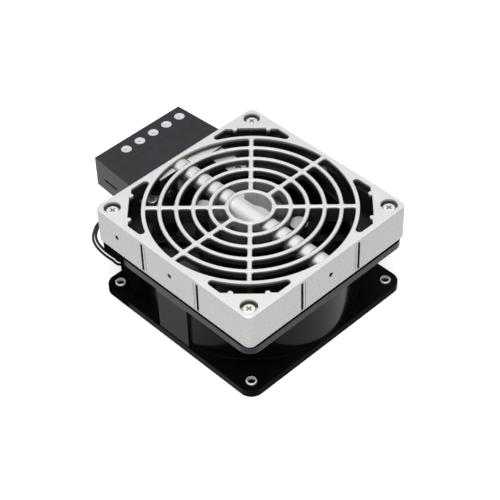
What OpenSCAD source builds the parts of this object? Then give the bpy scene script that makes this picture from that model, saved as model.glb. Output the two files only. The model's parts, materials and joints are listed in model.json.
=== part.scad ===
// Enclosure fan heater: a die-cast grille body on a square axial fan, with a screw terminal box.
// The origin lies on the fan axis in the mounting face of the lower flange.
// +Z points out of the grille and +Y points to the terminal box. Sizes are in millimetres.

/* [Overall] */
// Side of the square casting and of the fan frame
frame_w = 119; // [112:0.5:126]
// Distance of the corner screws from the sides of the square
hole_inset = 7.1; // [6.6:0.1:8]
// Clearance between pieces that slide into each other
fit_gap = 0.15; // [0.1:0.05:0.25]
// Radial clearance of threads and pressed pieces
thread_gap = 0.05; // [0.02:0.01:0.1]

/* [Casting] */
// Height of the casting
casting_h = 21.8; // [20:0.1:26]
// Thickness of the side walls
casting_wall = 2.8; // [2.2:0.1:3.4]
// Corner radius of the casting in plan
casting_corner_r = 4.4; // [4:0.1:7]
// Radius of the rounded upper edge
casting_edge_r = 1; // [0.4:0.1:1.5]
// Thickness of the roof around the grille
roof_t = 3; // [2:0.1:4]
// Width of the flat rim at the middle of each side
rim_w = 3.1; // [3:0.1:5]
// Width of the outermost ring, between the opening and the corner windows
outer_ring_w = 2.1; // [1.5:0.1:3]
// Radius of the pillar around each corner screw
pillar_r = 5.6; // [5.2:0.1:6.2]
// Radius of the pocket around each screw head
pocket_r = 4.7; // [4.4:0.1:5]
// Depth of the screw pocket
pocket_depth = 4.4; // [3.5:0.1:6]

/* [Grille] */
// Number of concentric rings
ring_count = 5; // [3:1:5]
// Middle radius of the first ring
ring_first_r = 12.6; // [11:0.1:13.5]
// Radial pitch of the rings
ring_pitch = 9.05; // [8:0.05:9.6]
// Width of a rib at its top
rib_w = 2.2; // [1.6:0.1:2.6]
// Width of a rib at its foot
rib_foot_w = 1.7; // [1:0.1:2]
// Width of a spoke at its top
spoke_w = 2.4; // [1.8:0.1:3]
// Bevel on the upper edges of a rib
rib_bevel = 0.4; // [0.2:0.1:0.6]
// Depth of the rings
ring_depth = 4.5; // [3:0.1:5.5]
// Depth of the diagonal webs
web_depth = 11; // [6:0.5:13]
// Depth of the two hub rings down to the hub floor
hub_depth = 10; // [8:0.5:12]
// Thickness of the hub floor
hub_floor_t = 2; // [1.5:0.1:3]
// Radius of the fillets where rings and spokes cross
crossing_r = 1.6; // [1:0.1:2]

/* [Corner windows] */
// Radius of the rounded tips of a window
window_tip_r = 2.1; // [1.6:0.1:2.4]
// Wall left between a window and the outside
window_wall = 3.3; // [2.9:0.1:4.5]
// Distance of the window's slanted edge from the screw axis
window_land = 9.3; // [8:0.1:10.5]
// Distance of the two bumps from the diagonal
bump_offset = 9.5; // [7:0.1:11]
// Radius of the bumps
bump_r = 1.4; // [1:0.1:1.8]

/* [Side walls] */
// Distance of the narrow slots from the middle of a side
slot_offset = 21.3; // [16:0.1:26]
// Width of the narrow slots
slot_w = 1.8; // [1.2:0.1:2.5]
// Wall left above a slot
slot_head = 1.6; // [1.2:0.1:3]
// Wall left below a slot
slot_foot = 0.6; // [0.4:0.1:1.5]
// Distance of the fine groove beside a slot from the slot's middle
groove_gap = 2.4; // [2:0.1:3]
// Width of the fine groove
groove_w = 0.4; // [0.3:0.05:0.6]
// Depth of the fine groove
groove_depth = 0.3; // [0.2:0.05:0.5]
// Radius of the small side holes
side_hole_r = 1.4; // [1:0.1:1.8]
// Depth of the small side holes below the top
side_hole_drop = 10.4; // [9:0.1:12]
// Distance of the outer side hole from the middle of a side
side_hole_offset = 41.7; // [36:0.1:44]
// Radius of the inner boss behind each middle hole
side_boss_r = 3.6; // [3:0.1:4.5]
// Length of that boss inside the wall
side_boss_l = 3.4; // [2.5:0.1:4.5]

/* [Heating element] */
// Radius of the cartridge
cartridge_r = 3.25; // [3:0.05:4]
// Length of the cartridge
cartridge_l = 92; // [70:1:95]
// Wall of the cast tube around the cartridge
tube_wall = 1.9; // [1.6:0.1:2.6]
// Depth of the tube's crown below the top of the grille
tube_drop = 1.1; // [0.7:0.1:2]
// Distance of the cartridge's wired end from the outer face of the wall
cartridge_inset = 4; // [2:0.5:6]

/* [Terminal side] */
// Depth of the ledge on the terminal side wall below the top
ledge_drop = 4; // [3:0.1:5]
// Width of the ledge
ledge_w = 3.2; // [2:0.1:4]
// Length of the ledge to the left of the middle
ledge_left = 17; // [14:0.5:20]
// Length of the ledge to the right of the middle
ledge_right = 27; // [26:0.5:28]
// Width of the shelf on the ledge's right half
shelf_w = 6.2; // [5:0.1:7]
// Thickness of that shelf
shelf_t = 2.6; // [2:0.1:2.8]
// Width of the lug that carries the cut-out
lug_w = 11; // [10:0.5:12]
// Length of the lug from the wall
lug_l = 29; // [26:0.5:32]
// Thickness of the lug
lug_t = 3; // [2.5:0.1:4]
// Depth of the lug's upper face below the top
lug_drop = 5.4; // [5:0.1:6]
// Radius of the tapped hole in the lug
lug_hole_r = 1.6; // [1.3:0.1:2]
// Distance of the earth pillar from the middle
earth_x = 27; // [25:0.5:29]
// Distance of the earth pillar's axis from the wall
earth_reach = 7.2; // [6:0.1:8]
// Radius of the earth pillar
earth_r = 4; // [3.8:0.1:4.4]
// Depth of the earth pillar's top below the top of the grille
earth_drop = 11.5; // [10:0.1:12]

/* [Air guide] */
// Thickness of the plate between casting and fan
plate_t = 1.8; // [1.2:0.1:2.5]
// Inset of the plate from the sides
plate_inset = 1.2; // [0.8:0.1:2]
// Thickness of the upright walls
guide_wall = 1.4; // [1:0.1:1.8]
// Gap between the upright walls and the casting
guide_gap = 0.3; // [0.2:0.1:0.5]
// Distance of the walls' upper edge below the rings
guide_clear = 0.7; // [0.5:0.1:2]

/* [Fan frame] */
// Depth of the fan
fan_depth = 38; // [37:0.5:42]
// Thickness of the flanges
flange_t = 4.5; // [3.5:0.1:5]
// Corner radius of the flanges
flange_corner_r = 7.5; // [6:0.1:9]
// Distance of the duct's outside from the sides of the square
duct_inset = 1.1; // [0.8:0.1:2]
// Wall of the duct
duct_wall = 2.2; // [1.6:0.1:2.6]
// Radius of the fillet between duct and flanges
foot_r = 1; // [0.6:0.1:2]
// Width of the bevel at the inlet
inlet_bevel = 1.5; // [0.5:0.1:1.9]
// Width of the flat pad on the side of the duct
pad_w = 23; // [16:0.5:26]
// Inset of the pad's face from the side of the square
pad_inset = 0.3; // [0.2:0.1:0.5]
// Outer radius of the corner bushes
bush_r = 2.95; // [2.8:0.05:3]
// Radius of the mounting holes in the lower bushes
bush_bore_r = 2.25; // [2.2:0.05:2.3]
// Length by which a bush stands out of its flange
bush_proud = 1; // [0.6:0.1:1.5]
// Bevel on the standing-out end of a bush
bush_bevel = 0.3; // [0.2:0.05:0.4]
// Thickness of the wall around the corner pocket of the leads
pocket_wall = 2.1; // [1.6:0.1:2.4]
// Thread radius of the corner screws
screw_r = 2; // [1.8:0.1:2.1]
// Radius of the clearance holes for the corner screws
screw_hole_r = 2.5; // [2.4:0.05:2.6]
// Head radius of the corner screws
screw_head_r = 3.6; // [3.3:0.1:4]
// Head height of the corner screws
screw_head_h = 2.6; // [2:0.1:3]

/* [Motor] */
// Radius of the motor plate
motor_r = 31; // [30.5:0.5:33]
// Thickness of the motor plate and its struts
motor_plate_t = 3.5; // [2.5:0.1:4]
// Width of the struts
strut_w = 5; // [4:0.5:7]
// Outer radius of the bearing tube
bearing_tube_r = 5; // [4.6:0.1:5.4]
// Wall of the bearing tube
bearing_tube_wall = 1; // [0.8:0.1:1.2]
// Radius of the shaft
shaft_r = 2; // [1.5:0.1:2.2]
// Radial running clearance of the shaft
shaft_gap = 0.04; // [0.02:0.01:0.08]
// Length of a shaft bearing
bearing_l = 4; // [3:0.1:5]
// Radius of the stator over its pole shoes
stator_r = 22; // [21:0.1:23]
// Height of the stator stack
stator_h = 12; // [10:0.5:13]
// Gap between stator and rotor
air_gap = 0.6; // [0.5:0.05:0.8]
// Thickness of the rotor ring
rotor_ring_t = 4.2; // [3:0.1:5]
// Thickness of the steel rotor cup
rotor_cup_t = 1.2; // [0.8:0.1:1.5]

/* [Impeller] */
// Number of blades
blade_count = 5; // [3:1:7]
// Wall of the impeller hub
hub_wall = 1.8; // [1.4:0.1:2.2]
// Distance of the hub's face from the mounting face
hub_inset = 6; // [5.5:0.5:7]
// Gap between blade tips and duct
tip_gap = 1.2; // [0.8:0.1:2]
// Thickness of a blade at its middle
blade_t = 2.2; // [1.5:0.1:3]
// Angle that a blade covers at the hub
blade_wrap = 54; // [40:1:60]
// Height of the blades
blade_h = 22.5; // [18:0.5:23]
// Axial distance between hub face and blades
blade_inset = 1.2; // [1.1:0.1:1.5]
// Share of the wrap that a blade loses towards its tip
blade_taper = 0.22; // [0.1:0.01:0.3]
// Angle by which a blade's tip leads its root
blade_sweep = 8; // [0:1:14]
// Rise of a blade's arch over a straight blade
blade_bow = 1.6; // [0.5:0.1:2]
// Thickness of a blade's edges as a share of its middle
blade_edge = 0.3; // [0.2:0.05:0.5]

/* [Terminal box] */
// Length of the box from the casting to its outer face
box_l = 32; // [31:0.5:36]
// Width of the box at the casting
box_root_w = 67; // [66:0.5:70]
// Width of the box at its outer face
box_tip_w = 63; // [63:0.5:68]
// Height of the box
box_h = 19.5; // [19:0.1:20]
// Distance of the box's top below the casting's top
box_drop = 1; // [0.5:0.1:1.5]
// Wall of the cover
cover_wall = 1.5; // [1.2:0.1:1.6]
// Thickness of the base plate
base_t = 2; // [1.6:0.1:2.4]
// Number of poles
pole_count = 5; // [5:1:6]
// Pitch of the poles
pole_pitch = 10.05; // [9.6:0.05:10.2]
// Distance of the last pole from the end of the outer face
pole_side_inset = 5.55; // [5.5:0.05:6]
// Distance of the clamp screws from the outer face
pole_inset = 6.9; // [6.6:0.1:7.4]
// Head radius of the clamp screws
clamp_screw_r = 3; // [2.6:0.1:3.2]
// Distance of the wire entries' middle above the base plate
entry_rise = 4.9; // [4.5:0.1:5.4]
// Side of the square wire entries
entry_w = 4.8; // [4.6:0.1:5]
// Length of the latch slit in the ends of the box
latch_l = 11.3; // [9:0.1:13]
// Height of the latch slit
latch_h = 1.5; // [1:0.1:2]
// Distance of the latch slit from the outer face
latch_inset = 7.5; // [6:0.1:9]
// Height of the latch slit's middle above the underside of the box
latch_rise = 7.8; // [7:0.1:9]

/* [Hidden] */
$fn = 64;

// Small overlap that joins shapes of one piece, and lets cuts run past a face
eps = 1;
half_w = frame_w / 2;
hole_xy = half_w - hole_inset;
quarter_turns = [0:90:270];
diagonals = [45:90:315];

// Levels
upper_flange_z = fan_depth - flange_t;
casting_z = fan_depth + plate_t;
top_z = casting_z + casting_h;

// Casting
opening_r = half_w - rim_w;
outer_ring_r = opening_r + outer_ring_w;
inner_half = half_w - casting_wall;
spoke_end_r = opening_r + outer_ring_w / 2;
tube_r = cartridge_r + fit_gap + tube_wall;
tube_z = top_z - tube_drop - tube_r;
bore_end_y = half_w - cartridge_inset - cartridge_l - fit_gap;
hub_r = ring_first_r + ring_pitch + rib_w / 2;
hub_lug_r = 4;
hub_lug_drop = 6;
hub_lug_angle = 120;
seat_z = top_z - pocket_depth;
ledge_y = inner_half - ledge_w;
ledge_z = top_z - ledge_drop;
ledge_foot = 3;
lug_x = ledge_right - lug_w / 2;
lug_y = inner_half - lug_l;
lug_hole_inset = 4;
lug_hole_y = lug_y + lug_hole_inset;
lug_z = top_z - lug_drop - lug_t;
earth_y = inner_half - earth_reach;
earth_z = top_z - earth_drop;
earth_screw_r = 1.7;
earth_thread_l = 6;
wall_hole_r = 3;
wall_hole_x = 12.5;
wall_hole_drop = 10;
wall_hole_z = top_z - wall_hole_drop;
box_screw_x = 12;
box_screw_rise = 5.3;
box_screw_z = casting_z + box_screw_rise;
box_screw_r = 1.5;
box_screw_head_r = 2.6;
box_screw_head_h = 1.8;
earth_screw_head_r = 3.4;
earth_screw_head_h = 2.4;
earth_lug_t = 0.8;

// Thermal cut-out
cutout_plate_t = 0.8;
cutout_cap_r = 5.2;
cutout_cap_h = 2.6;
cutout_body_r = 4.8;
cutout_body_h = 5;
cutout_blade_l = 3;
cutout_blade_x = 2.6;
cutout_reach = 8.3;
cutout_y = lug_hole_y + cutout_reach;
cutout_lead_z = lug_z - cutout_cap_h - cutout_body_h - cutout_blade_l * 2 / 3;
cutout_screw_head_r = 2.7;
cutout_screw_head_h = 1.8;

// Air guide
guide_half = inner_half - guide_gap;
guide_top_z = top_z - ring_depth - guide_clear;
guide_corner = 2 * hole_xy - pillar_r * sqrt(2) - guide_gap * sqrt(2);
guide_opening_r = half_w - duct_inset - duct_wall;

// Fan
duct_r = half_w - duct_inset;
duct_bore_r = duct_r - duct_wall;
motor_plate_z = fan_depth - motor_plate_t;
screw_tip_z = upper_flange_z - 2 * bush_proud;
lead_hole_w = 6;
lead_hole_h = 4.4;
lead_hole_drop = 1.8;
lead_hole_z = upper_flange_z - lead_hole_drop;
pocket_bend = [-hole_xy - 1.6, hole_xy - 13.9];
pocket_end = [-hole_xy + 5.1, hole_xy + 5];
pocket_root = pocket_bend * (duct_r - eps) / norm(pocket_bend);

// Motor, seen from the inlet upwards
hub_face_z = hub_inset;
cup_z = hub_face_z + hub_wall;
cup_floor_z = cup_z + rotor_cup_t;
cup_boss_h = 2.4;
cup_boss_wall = 2.4;
cup_boss_r = shaft_r + cup_boss_wall;
axial_gap = 0.4;
bearing_tube_z = cup_floor_z + cup_boss_h + axial_gap;
bearing_tube_inset = 1;
bearing_tube_top_z = fan_depth - bearing_tube_inset;
bearing_bore_r = bearing_tube_r - bearing_tube_wall;
cap_t = 1.4;
clip_t = 0.6;
clip_w = 1.3;
shaft_groove = 0.4;
shaft_groove_r = shaft_r - shaft_groove;
bearing_inset = 0.6;
upper_bearing_z = motor_plate_z - bearing_l - bearing_inset;
clip_z = upper_bearing_z + bearing_l + axial_gap;
shaft_top_z = clip_z + clip_t + axial_gap;
stator_rise = 2.4;
stator_z = bearing_tube_z + stator_rise;
pole_arm_w = 7;
core_ring_t = 4;
shoe_t = 3;
shoe_angle = 72;
coil_from_r = 10;
coil_t = 3.2;
coil_top_z = stator_z + stator_h + fit_gap + coil_t;
rotor_over = 3.5;
rotor_ring_r = stator_r + air_gap + rotor_ring_t;
rotor_cup_r = rotor_ring_r + thread_gap + rotor_cup_t;
impeller_r = rotor_cup_r + thread_gap + hub_wall;
rotor_top_z = stator_z + stator_h + rotor_over;
blade_z = hub_face_z + blade_inset;
blade_root_r = impeller_r - hub_wall / 2;
blade_tip_r = duct_bore_r - tip_gap;
blade_rows = 4;
blade_steps = 8;

// Terminal box
box_y = half_w;
box_tip_y = half_w + box_l;
box_top_z = top_z - box_drop;
box_z = box_top_z - box_h;
base_top_z = box_z + base_t;
cover_roof_z = box_top_z - cover_wall;
pole_y = box_tip_y - pole_inset;
poles = [for (i = [0:pole_count - 1]) box_tip_w / 2 - pole_side_inset - i * pole_pitch];
entry_z = base_top_z + entry_rise;
clamp_wall = 0.7;
clamp_w = entry_w + 2 * clamp_wall;
clamp_l = 8;
clamp_h = 9;
clamp_z = base_top_z;
block_l = 12.4;
block_y = box_tip_y - cover_wall - fit_gap - block_l;
block_wall = 0.6;
block_side = clamp_w / 2 + fit_gap + block_wall;
clamp_thread_r = 1.6;
rear_entry_w = 5;
rear_entry_h = 4;
base_flange_t = 2.4;
base_flange_half = 26;
base_flange_h = 9;
seam_w = 0.3;
seam_depth = 0.15;
seam_inset = 16;
seam_y = box_tip_y - seam_inset;
latch_y = box_tip_y - latch_inset - latch_l;
latch_z = box_z + latch_rise - latch_h / 2;
lead_notch_l = 5.8;
lead_notch_h = 5;

// Leads and the places from which their routes are measured
lead_r = 0.75;
lead_sides = 8;
pair_gap = 0.5;
pair_aside = lead_r + pair_gap / 2;
box_floor = [0, box_y, base_top_z];
box_notch = [-box_root_w / 2, box_y, base_top_z];
fan_corner = [-half_w, half_w, upper_flange_z];
duct_hole = [-duct_r * sqrt(0.5), duct_r * sqrt(0.5), lead_hole_z];
motor_plate = [0, 0, motor_plate_z];
clamp_mouth_y = pole_y - clamp_l / 2;

// Fan leads: out of the box, in a hanging bow behind the frame's corner and through the duct to the motor
fan_lead_route = [
  box_floor + [-12, 9.7, 2.3], box_floor + [-20, 7.3, 2.1], box_floor + [-28, 5.1, 2.2],
  box_notch + [0.1, 3.1, 2.4], box_notch + [-6.5, 2.8, 2.9],
  fan_corner + [12.5, 3.3, 12.4], fan_corner + [5.2, 4.1, 9.9], fan_corner + [3.1, 5.1, 5.5],
  fan_corner + [2.1, 5.5, 1], fan_corner + [2.7, 5.3, -3.5], fan_corner + [4.3, 4.7, -8.1],
  fan_corner + [6.4, 3.9, -12.3], fan_corner + [8.6, 3.1, -16], fan_corner + [11.1, 2.1, -19.7],
  fan_corner + [13, 1.3, -23], fan_corner + [15.9, -0.3, -24.9], fan_corner + [17.7, -4.3, -24.3],
  fan_corner + [17.3, -9, -20], fan_corner + [16.5, -12.7, -13.5], fan_corner + [16.1, -14.9, -6.5],
  duct_hole + [-2.2, 2.2, -0.8], duct_hole + [0.8, -0.8, 0], duct_hole + [5.3, -5.3, 0.5],
  motor_plate + [-28, 28, -2.1], motor_plate + [-22, 22, -2.3], motor_plate + [-16, 16, -3],
  [-11, 11, coil_top_z + 1.1]
];
fan_lead_starts = [
  [[poles[3] - 1.4, clamp_mouth_y - 0.6, entry_z], [poles[3] - 2.6, block_y - 3, entry_z - 1.1]],
  [
    [poles[2] + 1.5, clamp_mouth_y - 0.6, entry_z + 0.4], [poles[2] - 0.3, block_y - 3, entry_z - 0.8],
    box_floor + [-2, 11.5, 2.3]
  ]
];

// Leads of the heating element: out of the tube and down to two poles
heater_lead_x = 1.4;
heater_lead_y = half_w - 7.5;
heater_lead_routes = [
  for (side = [-1, 1])
    let (pole_x = side < 0 ? poles[3] + 0.5 : poles[2] - 0.3)
    [
      [side * heater_lead_x, heater_lead_y, tube_z], [side * heater_lead_x, half_w - 2, tube_z],
      [side * heater_lead_x, box_y + 3.5, tube_z], [side * 2.6 + 0.3, box_y + 8.5, tube_z - 2.6],
      [pole_x, block_y - 4.4, entry_z + 1], [pole_x, clamp_mouth_y + 0.4, entry_z]
    ]
];

// Leads of the cut-out: through the wall and apart to the last two poles
cutout_lead_routes = [
  for (side = [-1, 1])
    let (pole_x = side < 0 ? poles[1] : poles[0])
    [
      [lug_x + side * cutout_blade_x, cutout_y + 1.3, cutout_lead_z],
      [lug_x + side * 2.4 - 2, cutout_y + 6, cutout_lead_z],
      [wall_hole_x + 3 + side, half_w - 8.5, wall_hole_z - 2.4],
      [wall_hole_x + side, half_w - 4.5, wall_hole_z],
      [wall_hole_x + side, box_y + 3.5, wall_hole_z],
      [wall_hole_x + 3.5 + 2.6 * side, box_y + 8.5, wall_hole_z - 1],
      [pole_x, block_y - 4, entry_z + 0.6], [pole_x, clamp_mouth_y + 0.4, entry_z]
    ]
];

// Earth lead: from the ring lug through the wall to the first pole
earth_lead_route = [
  [-earth_x + 4.4, earth_y, earth_z + 0.8], [-earth_x + 8, earth_y, earth_z + 0.6],
  [-wall_hole_x - 3, half_w - 8, wall_hole_z + 1.4], [-wall_hole_x, half_w - 3.5, wall_hole_z],
  [-wall_hole_x, box_y + 3.5, wall_hole_z], [poles[4] + 0.6, box_y + 9.5, wall_hole_z - 1.4],
  [poles[4], block_y - 3.4, entry_z + 0.4], [poles[4], clamp_mouth_y + 0.4, entry_z]
];

// Shapes that several pieces use

module rounded_square(half, r) {
  square([2 * half, 2 * (half - r)], center = true);
  square([2 * (half - r), 2 * half], center = true);
  for (a = diagonals)
    rotate(a)
      translate([(half - r) * sqrt(2), 0])
        circle(r = r);
}

// Carries an upright profile, drawn with its outer face at x = 0, around a rounded square
module around_square(half, r) {
  for (a = quarter_turns)
    rotate([0, 0, a]) {
      translate([half, r - half, 0])
        rotate([90, 0, 180])
          linear_extrude(2 * (half - r))
            mirror([1, 0])
              children();
      translate([half - r, half - r, 0])
        rotate_extrude(angle = 90)
          translate([r, 0])
            children();
    }
}

module at_corners() {
  for (x = [-hole_xy, hole_xy])
    for (y = [-hole_xy, hole_xy])
      translate([x, y, 0])
        children();
}

module bore_y(r, y_from, y_to) {
  translate([0, y_to, 0])
    rotate([90, 0, 0])
      cylinder(r = r, h = y_to - y_from);
}

module tube(r_out, r_in, h) {
  difference() {
    cylinder(r = r_out, h = h);
    translate([0, 0, -eps])
      cylinder(r = r_in, h = h + 2 * eps);
  }
}

// Smooth curve through the points of a route
function curve_point(p, i, s) =
  let (
    a = p[max(i - 1, 0)],
    b = p[i],
    c = p[i + 1],
    d = p[min(i + 2, len(p) - 1)]
  )
  0.5 * (2 * b + (c - a) * s + (2 * a - 5 * b + 4 * c - d) * s * s + (3 * b - a - 3 * c + d) * s * s * s);

function smooth_route(p, steps) = [
  for (i = [0:len(p) - 2])
    for (k = [0:steps - 1])
      curve_point(p, i, k / steps),
  p[len(p) - 1]
];

function unit(v) = v / norm(v);

function route_dir(p, i) = unit(p[min(i + 1, len(p) - 1)] - p[max(i - 1, 0)]);

function square_to(v, t) = unit(v - (v * t) * t);

// Round lead along a route, moved aside when it is one of a pair
module lead(route, aside = 0) {
  p = smooth_route(route, 2);
  n = len(p);
  sides = [
    for (i = 0, v = square_to([0, 0.3, 1], route_dir(p, 0)); i < n;
        i = i + 1, v = square_to(v, route_dir(p, min(i, n - 1)))) v
  ];
  points = [
    for (i = [0:n - 1])
      let (up = cross(sides[i], route_dir(p, i)))
      for (k = [0:lead_sides - 1])
        p[i] + sides[i] * (aside + lead_r * cos(360 * k / lead_sides))
          + up * lead_r * sin(360 * k / lead_sides)
  ];
  skin = [
    for (i = [0:n - 2])
      for (k = [0:lead_sides - 1])
        let (
          a = i * lead_sides + k,
          b = i * lead_sides + (k + 1) % lead_sides,
          c = b + lead_sides,
          d = a + lead_sides
        )
        each [[a, b, c], [a, c, d]]
  ];
  first = [for (k = [lead_sides - 1:-1:0]) k];
  last = [for (k = [0:lead_sides - 1]) (n - 1) * lead_sides + k];
  polyhedron(points = points, faces = concat(skin, [first, last]), convexity = 6);
}

// Heater casting

module rim_profile() {
  translate([-casting_wall, 0])
    square([casting_wall, casting_h - casting_edge_r]);
  translate([-casting_wall, 0])
    square([casting_wall - casting_edge_r, casting_h]);
  translate([-casting_edge_r, casting_h - casting_edge_r])
    circle(r = casting_edge_r);
}

// Rib section with its crown at y = 0
module rib_profile(w, depth) {
  foot_w = w - rib_w + rib_foot_w;
  polygon([
    [rib_bevel - w / 2, 0], [w / 2 - rib_bevel, 0], [w / 2, -rib_bevel],
    [foot_w / 2, -depth], [-foot_w / 2, -depth], [-w / 2, -rib_bevel]
  ]);
}

// Point on the slanted edge of a corner window, measured from the diagonal
function land_point(land, along) =
  let (middle = hole_xy - land / sqrt(2))
  [middle + along / sqrt(2), middle - along / sqrt(2)];

// Window with rounded tips that close in between the outermost ring and the side
module corner_window() {
  edge = half_w - window_wall;
  corner = 2 * (hole_xy - window_land / sqrt(2)) - edge;
  recess = 0.7;
  tip_lap = 0.05;
  ring_share = 0.9;
  tip_y = edge - window_tip_r;
  tip_reach = outer_ring_r + window_tip_r - tip_lap;
  tip_x = sqrt(tip_reach * tip_reach - tip_y * tip_y);
  difference() {
    union() {
      polygon([
        [tip_x, edge], [corner, edge],
        land_point(window_land, -bump_offset), land_point(window_land - recess, -bump_offset),
        land_point(window_land - recess, bump_offset), land_point(window_land, bump_offset),
        [edge, corner], [edge, tip_x], [tip_y, tip_x], ring_share * [tip_y, tip_x],
        ring_share * [tip_x, tip_y], [tip_x, tip_y]
      ]);
      translate([tip_x, tip_y])
        circle(r = window_tip_r);
      translate([tip_y, tip_x])
        circle(r = window_tip_r);
    }
    circle(r = outer_ring_r);
    for (side = [-1, 1])
      translate(land_point(window_land, side * bump_offset))
        circle(r = bump_r);
  }
}

module casting_roof() {
  translate([0, 0, top_z - roof_t])
    linear_extrude(roof_t)
      difference() {
        rounded_square(inner_half + eps / 2, casting_corner_r - casting_wall + eps);
        circle(r = opening_r);
        for (a = quarter_turns)
          rotate(a)
            corner_window();
      }
}

module casting_ring(i) {
  depth = i < 2 ? hub_depth + eps : ring_depth;
  translate([0, 0, top_z])
    rotate_extrude()
      translate([ring_first_r + i * ring_pitch, 0])
        rib_profile(rib_w, depth);
}

module casting_spoke(angle, depth, drop) {
  rotate([0, 0, angle])
    translate([ring_first_r, 0, top_z - drop])
      rotate([90, 0, 90])
        linear_extrude(spoke_end_r - ring_first_r)
          rib_profile(spoke_w, depth);
}

// Cross with concave corners, centred on the crossing of a ring and a spoke
module crossing_shape() {
  crossing_lap = 0.12;
  half_x = rib_w / 2 + crossing_r;
  half_y = spoke_w / 2 + crossing_r;
  difference() {
    square([2 * half_x, 2 * half_y], center = true);
    for (x = [-half_x, half_x])
      for (y = [-half_y, half_y])
        translate([x, y])
          circle(r = crossing_r + crossing_lap);
  }
}

// Fillets of one spoke: the bore of the first ring stays round and the last ones end in the roof
module crossing_fillets(angle) {
  foot_inset = 0.2;
  crown_inset = rib_bevel + 0.1;
  rotate([0, 0, angle])
    translate([0, 0, top_z - ring_depth + foot_inset])
      linear_extrude(ring_depth - foot_inset - crown_inset) {
        for (i = [1:ring_count - 1])
          translate([ring_first_r + i * ring_pitch, 0])
            crossing_shape();
        difference() {
          translate([ring_first_r, 0])
            crossing_shape();
          circle(r = ring_first_r);
        }
        intersection() {
          translate([opening_r + rib_w / 2, 0])
            crossing_shape();
          circle(r = spoke_end_r);
        }
      }
}

module casting_grille() {
  spoke_drop = 0.1;
  for (i = [0:ring_count - 1])
    casting_ring(i);
  for (a = diagonals) {
    casting_spoke(a, web_depth, spoke_drop);
    crossing_fillets(a);
  }
  for (a = [0, 180]) {
    casting_spoke(a, ring_depth - 2 * spoke_drop, spoke_drop);
    crossing_fillets(a);
  }
}

module casting_hub() {
  translate([0, 0, top_z - hub_depth - hub_floor_t])
    cylinder(r = hub_r, h = hub_floor_t);
  for (a = [hub_lug_angle, hub_lug_angle + 180])
    rotate([0, 0, a])
      translate([hub_r + hub_lug_r, 0, top_z - hub_depth - hub_floor_t])
        cylinder(r = hub_lug_r + eps, h = hub_depth + hub_floor_t - hub_lug_drop);
}

// Tongue with a round end at the origin, reaching along +Y
module tongue(r, l) {
  circle(r = r);
  translate([-r, 0])
    square([2 * r, l]);
}

module casting_terminal_side() {
  translate([-ledge_left, ledge_y, casting_z + ledge_foot])
    cube([ledge_left + ledge_right, ledge_w + eps, ledge_z - casting_z - ledge_foot]);
  translate([0, inner_half - shelf_w, ledge_z - shelf_t])
    cube([ledge_right, shelf_w + eps, shelf_t]);
  translate([lug_x, lug_y + lug_w / 2, lug_z])
    linear_extrude(lug_t)
      tongue(lug_w / 2, lug_l - lug_w / 2 + eps);
  translate([-earth_x, earth_y, casting_z + ledge_foot])
    linear_extrude(earth_z - casting_z - ledge_foot)
      tongue(earth_r, earth_reach + eps);
}

module casting_solid() {
  translate([0, 0, casting_z])
    around_square(half_w, casting_corner_r)
      rim_profile();
  casting_roof();
  casting_grille();
  casting_hub();
  casting_terminal_side();
  at_corners()
    translate([0, 0, casting_z])
      cylinder(r = pillar_r, h = casting_h - eps);
  translate([0, 0, tube_z])
    bore_y(tube_r, eps - half_w, half_w - eps);
  for (side = [-1, 1])
    translate([side * (inner_half + eps), 0, top_z - side_hole_drop])
      rotate([0, -90 * side, 0])
        cylinder(r = side_boss_r, h = side_boss_l + eps);
}

// Hole drilled inwards from the side wall that faces the given direction
module side_hole(angle, along, depth) {
  rotate([0, 0, angle])
    translate([half_w - depth, along, top_z - side_hole_drop])
      rotate([0, 90, 0])
        cylinder(r = side_hole_r, h = depth + eps);
}

// Narrow slots with a fine groove beside each of them
module side_slots(angle) {
  slot_l = casting_h - slot_foot - slot_head;
  groove_offset = slot_offset - groove_gap;
  rotate([0, 0, angle])
    for (side = [-1, 1])
      translate([0, 0, casting_z + slot_foot]) {
        translate([inner_half - eps, side * slot_offset - slot_w / 2, 0])
          cube([casting_wall + 2 * eps, slot_w, slot_l]);
        translate([half_w - groove_depth, side * groove_offset - groove_w / 2, 0])
          cube([groove_depth + eps, groove_w, slot_l]);
      }
}

module heater_casting() {
  color("gainsboro")
    difference() {
      casting_solid();
      at_corners() {
        translate([0, 0, casting_z - eps])
          cylinder(r = screw_hole_r, h = casting_h + 2 * eps);
        translate([0, 0, seat_z])
          cylinder(r = pocket_r, h = pocket_depth + eps);
      }
      for (a = [0, 180, 270])
        side_slots(a);
      for (a = [0, 180])
        side_hole(a, 0, casting_wall + side_boss_l - eps);
      side_hole(180, -side_hole_offset, casting_wall + eps);
      side_hole(0, side_hole_offset, casting_wall + eps);
      side_hole(270, 0, casting_wall);
      translate([0, 0, tube_z])
        bore_y(cartridge_r + fit_gap, bore_end_y, half_w + eps);
      for (side = [-1, 1]) {
        translate([side * wall_hole_x, 0, wall_hole_z])
          bore_y(wall_hole_r, ledge_y - eps, half_w + eps);
        translate([side * box_screw_x, 0, box_screw_z])
          bore_y(box_screw_r + fit_gap, ledge_y - eps, half_w + eps);
      }
      translate([lug_x, lug_hole_y, lug_z - eps])
        cylinder(r = lug_hole_r, h = lug_t + 2 * eps);
      translate([-earth_x, earth_y, earth_z - earth_thread_l])
        cylinder(r = earth_screw_r + thread_gap, h = earth_thread_l + eps);
    }
}

// Screws

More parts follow.
